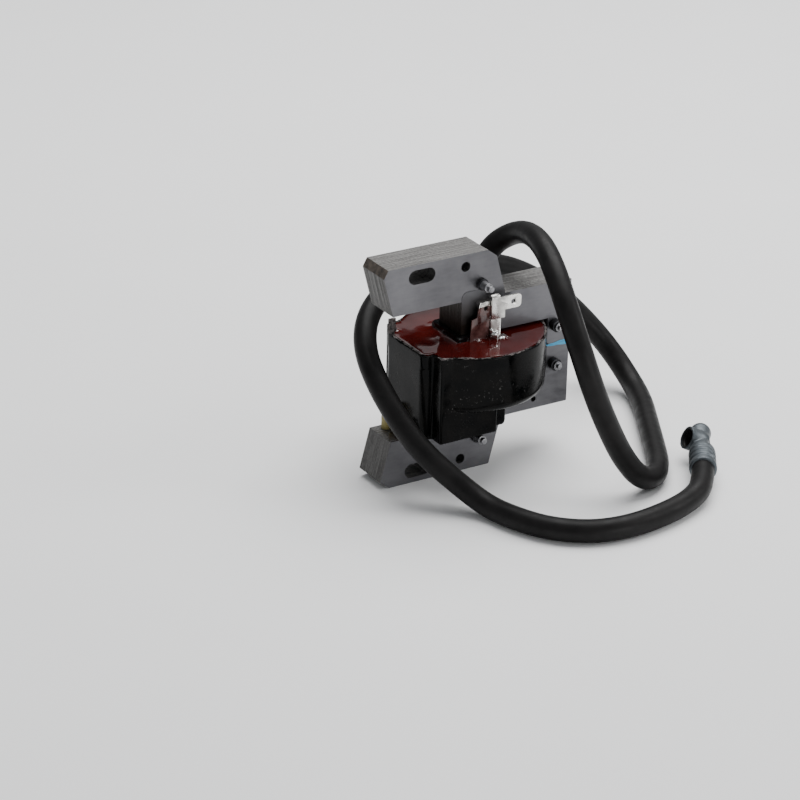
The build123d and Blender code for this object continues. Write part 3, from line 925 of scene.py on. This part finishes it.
def build_resin():
    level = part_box("epoxy_potting")[1].z
    shapes = shell_shapes()
    steps, rings = 300, 60
    points = []
    for ring in range(rings + 1):
        share = ring / rings
        for step in range(steps):
            angle = 2 * math.pi * step / steps
            reach = plan_radius(angle, SHELL_WALL - 0.3 * MM, shapes) * share
            place = PLAN_CENTRE + Vector((math.cos(angle), math.sin(angle), 0)) * reach
            to_wall = (1 - share) * plan_radius(angle, SHELL_WALL, shapes) / MM
            climb = resin_height(place.x / MM, place.y / MM) + 0.35 * math.exp(-to_wall / 0.7)
            place.z = level + climb * MM
            points.append(place)
    faces = []
    for ring in range(rings):
        for step in range(steps):
            after = (step + 1) % steps
            first = ring * steps
            faces.append((first + step, first + after, first + steps + after, first + steps + step))
    last = rings * steps
    base = len(points)
    points += [Vector((p.x, p.y, level - 2.5 * MM)) for p in points[last:last + steps]]
    for step in range(steps):
        after = (step + 1) % steps
        faces.append((last + step, last + after, base + after, base + step))
    faces.append(tuple(range(base, base + steps)))
    resin = mesh_object("resin_surface", points, faces, [potting_resin], smooth=50)
    recalculate_normals(resin)
    return place_on_root(resin, "potting_resin", "epoxy_potting")


def build_collar():
    """Black collar of the bobbin around the core, with glossy blobs where resin ran down it."""
    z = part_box("bobbin")[1].z - 4.6 * MM
    core_low, core_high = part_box("core_leg")
    loops = []
    for offset in (1.9 * MM, 0.1 * MM):
        x0, x1 = core_low.x - offset, core_high.x + min(offset, 0.2 * MM)
        y0, y1 = core_low.y - offset, core_high.y + offset
        loops.append([Vector((x, y, z)) for x, y in ((x0, y0), (x1, y0), (x1, y1), (x0, y1))])
    ring = prism("ring", loops, Vector((0, 0, 4.4 * MM)))
    collar = melted(joined("bobbin_collar", [ring]), 0.3 * MM, 3)
    roughened(collar, 600, 0.25 * MM)
    collar.data.materials.append(black_collar)
    shade(collar, 60)
    return place_on_root(collar, "bobbin_plastic")


# Terminals

def softened(node, name, width, material, slot, segments=2, ripple=0.0):
    """A CAD node's shape with rounded edges and, with ripple, small unevenness."""
    whole = bmesh.new()
    whole.from_mesh(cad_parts[node].data)
    bmesh.ops.remove_doubles(whole, verts=whole.verts, dist=0.002 * MM)
    bmesh.ops.dissolve_limit(whole, angle_limit=math.radians(1), verts=whole.verts, edges=whole.edges)
    mesh = bpy.data.meshes.new(name)
    whole.to_mesh(mesh)
    whole.free()
    obj = add_object(name, mesh)
    bevelled(obj, width, segments)
    if ripple:
        roughened(obj, 300, ripple)
    obj.data.materials.clear()
    obj.data.materials.append(material)
    shade(obj, 40)
    return place_on_root(obj, slot, node)


def build_solder():
    """Uneven beads of solder on the terminals' feet."""
    low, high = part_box("solder_joint")
    middle = (low + high) / 2
    whole = bmesh.new()
    beads = (
        (middle, (1.5, 1.2, 1.5)),
        (middle + Vector((-1.2, 0.5, 1.6)) * MM, (0.9, 0.7, 0.8)),
        (middle + Vector((2.6, -0.6, -1.5)) * MM, (1.7, 1.1, 0.55)),
    )
    for place, size in beads:
        shape = Matrix.Translation(place) @ Matrix.Diagonal((*(s * MM for s in size), 1))
        bmesh.ops.create_icosphere(whole, subdivisions=4, radius=1, matrix=shape)
    for vertex in whole.verts:
        vertex.co += Vector((1, 1, 1)) * 0.22 * MM * noise.noise(vertex.co * 900)
    mesh = bpy.data.meshes.new("solder_beads")
    whole.to_mesh(mesh)
    whole.free()
    mesh.materials.append(solder)
    obj = add_object("solder_beads", mesh)
    shade(obj, 60)
    return place_on_root(obj, "solder", "solder_joint")


# Lead and plug terminal

def build_lead():
    curve = bpy.data.curves.new("lead", "CURVE")
    curve.dimensions = "3D"
    spline = curve.splines.new("NURBS")
    spline.points.add(len(LEAD_ROUTE) - 1)
    for point, place in zip(spline.points, LEAD_ROUTE):
        point.co = (*(value * MM for value in place), 1)
    spline.order_u = 3
    spline.use_endpoint_u = True
    curve.resolution_u = 14
    curve.bevel_depth = LEAD_DIAMETER / 2
    curve.bevel_resolution = 9
    curve.use_fill_caps = True
    curve.materials.append(lead_rubber)
    lead = add_object("lead", curve)
    place_on_root(lead, "lead_rubber", "ht_lead", "lead_conductor")
    return lead


def build_grommet():
    """Resin that climbs the lead where it leaves the coil."""
    low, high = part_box("lead_grommet")
    middle = (low + high) / 2
    radius = LEAD_DIAMETER / 2 / MM
    profile = [(radius - 0.3, 0), (radius + 1.8, 0.2), (radius + 1.2, 1.0), (radius + 0.7, 2.2)]
    profile += [(radius + 0.35, 3.4), (radius + 0.1, 4.4), (radius - 0.3, 4.5)]
    grommet = lathe(
        "lead_seal", [(r * MM, h * MM) for r, h in profile],
        Vector((middle.x, middle.y, low.z)), (0, 0, 1), [potting_resin],
    )
    for vertex in grommet.data.vertices:
        vertex.co += vertex.normal * 0.25 * MM * noise.noise(vertex.co * 500)
    shade(grommet, 70)
    return place_on_root(grommet, "grommet_resin", "lead_grommet")


def plug_axis():
    end, before = Vector(LEAD_ROUTE[-1]) * MM, Vector(LEAD_ROUTE[-2]) * MM
    axis = (end - before).normalized()
    return end - axis * PLUG_OVERLAP * MM, axis


def build_plug():
    """Zinc elbow: a crimped ferrule, a neck with a round end, and an open socket to one side."""
    rim, axis = plug_axis()
    elbow = rim + axis * ELBOW_DISTANCE * MM
    socket = SOCKET_DIRECTION
    profile = [(0.2, 0), (4.3, 0), (4.85, 0.3), (4.8, 2.6)]
    for place in (3.0, 6.0, 9.0):
        profile += [(4.8, place - 0.3), (4.3, place + 0.1), (4.3, place + 0.8), (4.75, place + 1.3)]
    profile += [(4.6, 12.2), (4.3, 13.2), (3.5, 15.2), (3.2, 16.4), (3.2, 22.6), (3.55, 24.4)]
    for degrees in range(0, 90, 11):
        angle = math.radians(degrees)
        profile.append((3.8 * math.cos(angle), 26 + 3.8 * math.sin(angle)))
    stem = lathe("stem", [(r * MM, h * MM) for r, h in profile], rim, axis, steps=64)
    head_profile = [(0.2, -2.4), (2.2, -2.3), (3.5, -1.2), (4.0, 0.4)]
    head_profile += [(4.15, 1.6), (4.15, 6.0), (0.2, 6.0)]
    head = lathe("head", [(r * MM, h * MM) for r, h in head_profile], elbow, socket, steps=64)
    plug = melted(joined("plug_elbow", [stem, head]), 0.26 * MM, 2)
    cutter = lathe("bore", [(3.65 * MM, 0.8 * MM), (3.65 * MM, 9 * MM)], elbow, socket, steps=64)
    cut_away(plug, cutter)
    roughened(plug, 240, 0.12 * MM)
    plug.data.materials.clear()
    plug.data.materials.append(zinc)
    shade(plug, 50)
    return place_on_root(plug, "zinc_plate", "plug_terminal")


# Inner pieces keep their CAD shape

def paint_cad(node, material):
    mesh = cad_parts[node].data
    mesh.materials.clear()
    mesh.materials.append(material)


lamination = lamination_material("lamination_steel", 1.0)
# The core's steel is a darker copy (0.8) of the legs' steel, as painted shade, and darker again towards
# its low end.
shaded_core_lamination = lamination_material("shaded_core_lamination", 0.8, low_darkening=0.95)
varnish = varnish_material()
blue_paint = blue_paint_material()
rivet_steel = rivet_material()
black_boss_and_shade = dark_rivet_material()
black_shell = shell_material()
potting_resin = resin_material()
black_collar = collar_material()
tin = tin_material()
stained_tin = stained_tin_material()
solder = solder_material()
lead_rubber = rubber_material()
zinc = zinc_material()

add_camera()
add_studio()
lead = build_lead()
build_stack()
build_blue_mark()
build_rivets()
build_shell()
build_resin()
build_collar()
softened(
    "ground_strap", "ground_strap_sheet", 0.1 * MM, stained_tin, "tinned_sheet", ripple=0.05 * MM
)
softened("stop_terminal", "stop_bracket", 0.12 * MM, tin, "tinned_sheet", ripple=0.05 * MM)
build_solder()
build_grommet()
plug = build_plug()
yellow = plain_material("yellow_sleeve", (0.20, 0.165, 0.05), (0.34, 0.29, 0.11), 0.5)
softened("ground_sleeve", "yellow_sleeve", 0.15 * MM, yellow, "yellow_sleeve")
# The seat pad is painted near-black brown as painted shadow, where the lead and the shell shade the
# lower leg's top.
shadow_pad_paint = plain_material("brown_pad", (0.006, 0.004, 0.003), (0.02, 0.012, 0.008), 0.35)
softened("seat_pad", "brown_pad", 0.15 * MM, shadow_pad_paint, "brown_pad", ripple=0.1 * MM)

paint_cad("bobbin", black_collar)
copper = winding_material("copper_wire", (0.16, 0.05, 0.02), (0.60, 0.24, 0.10), 0.8 * MM)
paint_cad("primary_winding", copper)
fine_copper = winding_material("fine_wire", (0.12, 0.04, 0.02), (0.45, 0.17, 0.08), 0.2 * MM)
paint_cad("secondary_winding", fine_copper)
film = plain_material("insulation_film", (0.45, 0.36, 0.12), (0.62, 0.52, 0.22), 0.4)
paint_cad("winding_insulation", film)
paint_cad("outer_wrap", film)
module = plain_material("module_plastic", (0.015, 0.015, 0.016), (0.03, 0.03, 0.03), 0.55)
paint_cad("trigger_module", module)
paint_cad("switch_transistor", module)
paint_cad("ground_wire", tin)
paint_cad("output_contact", tin)
liner = plain_material("liner_rubber", (0.006, 0.006, 0.006), (0.014, 0.014, 0.014), 0.5)
paint_cad("terminal_liner", liner)
spring = plain_material("spring_steel", (0.10, 0.10, 0.10), (0.26, 0.26, 0.26), 0.35, metallic=1.0)
paint_cad("terminal_clip", spring)
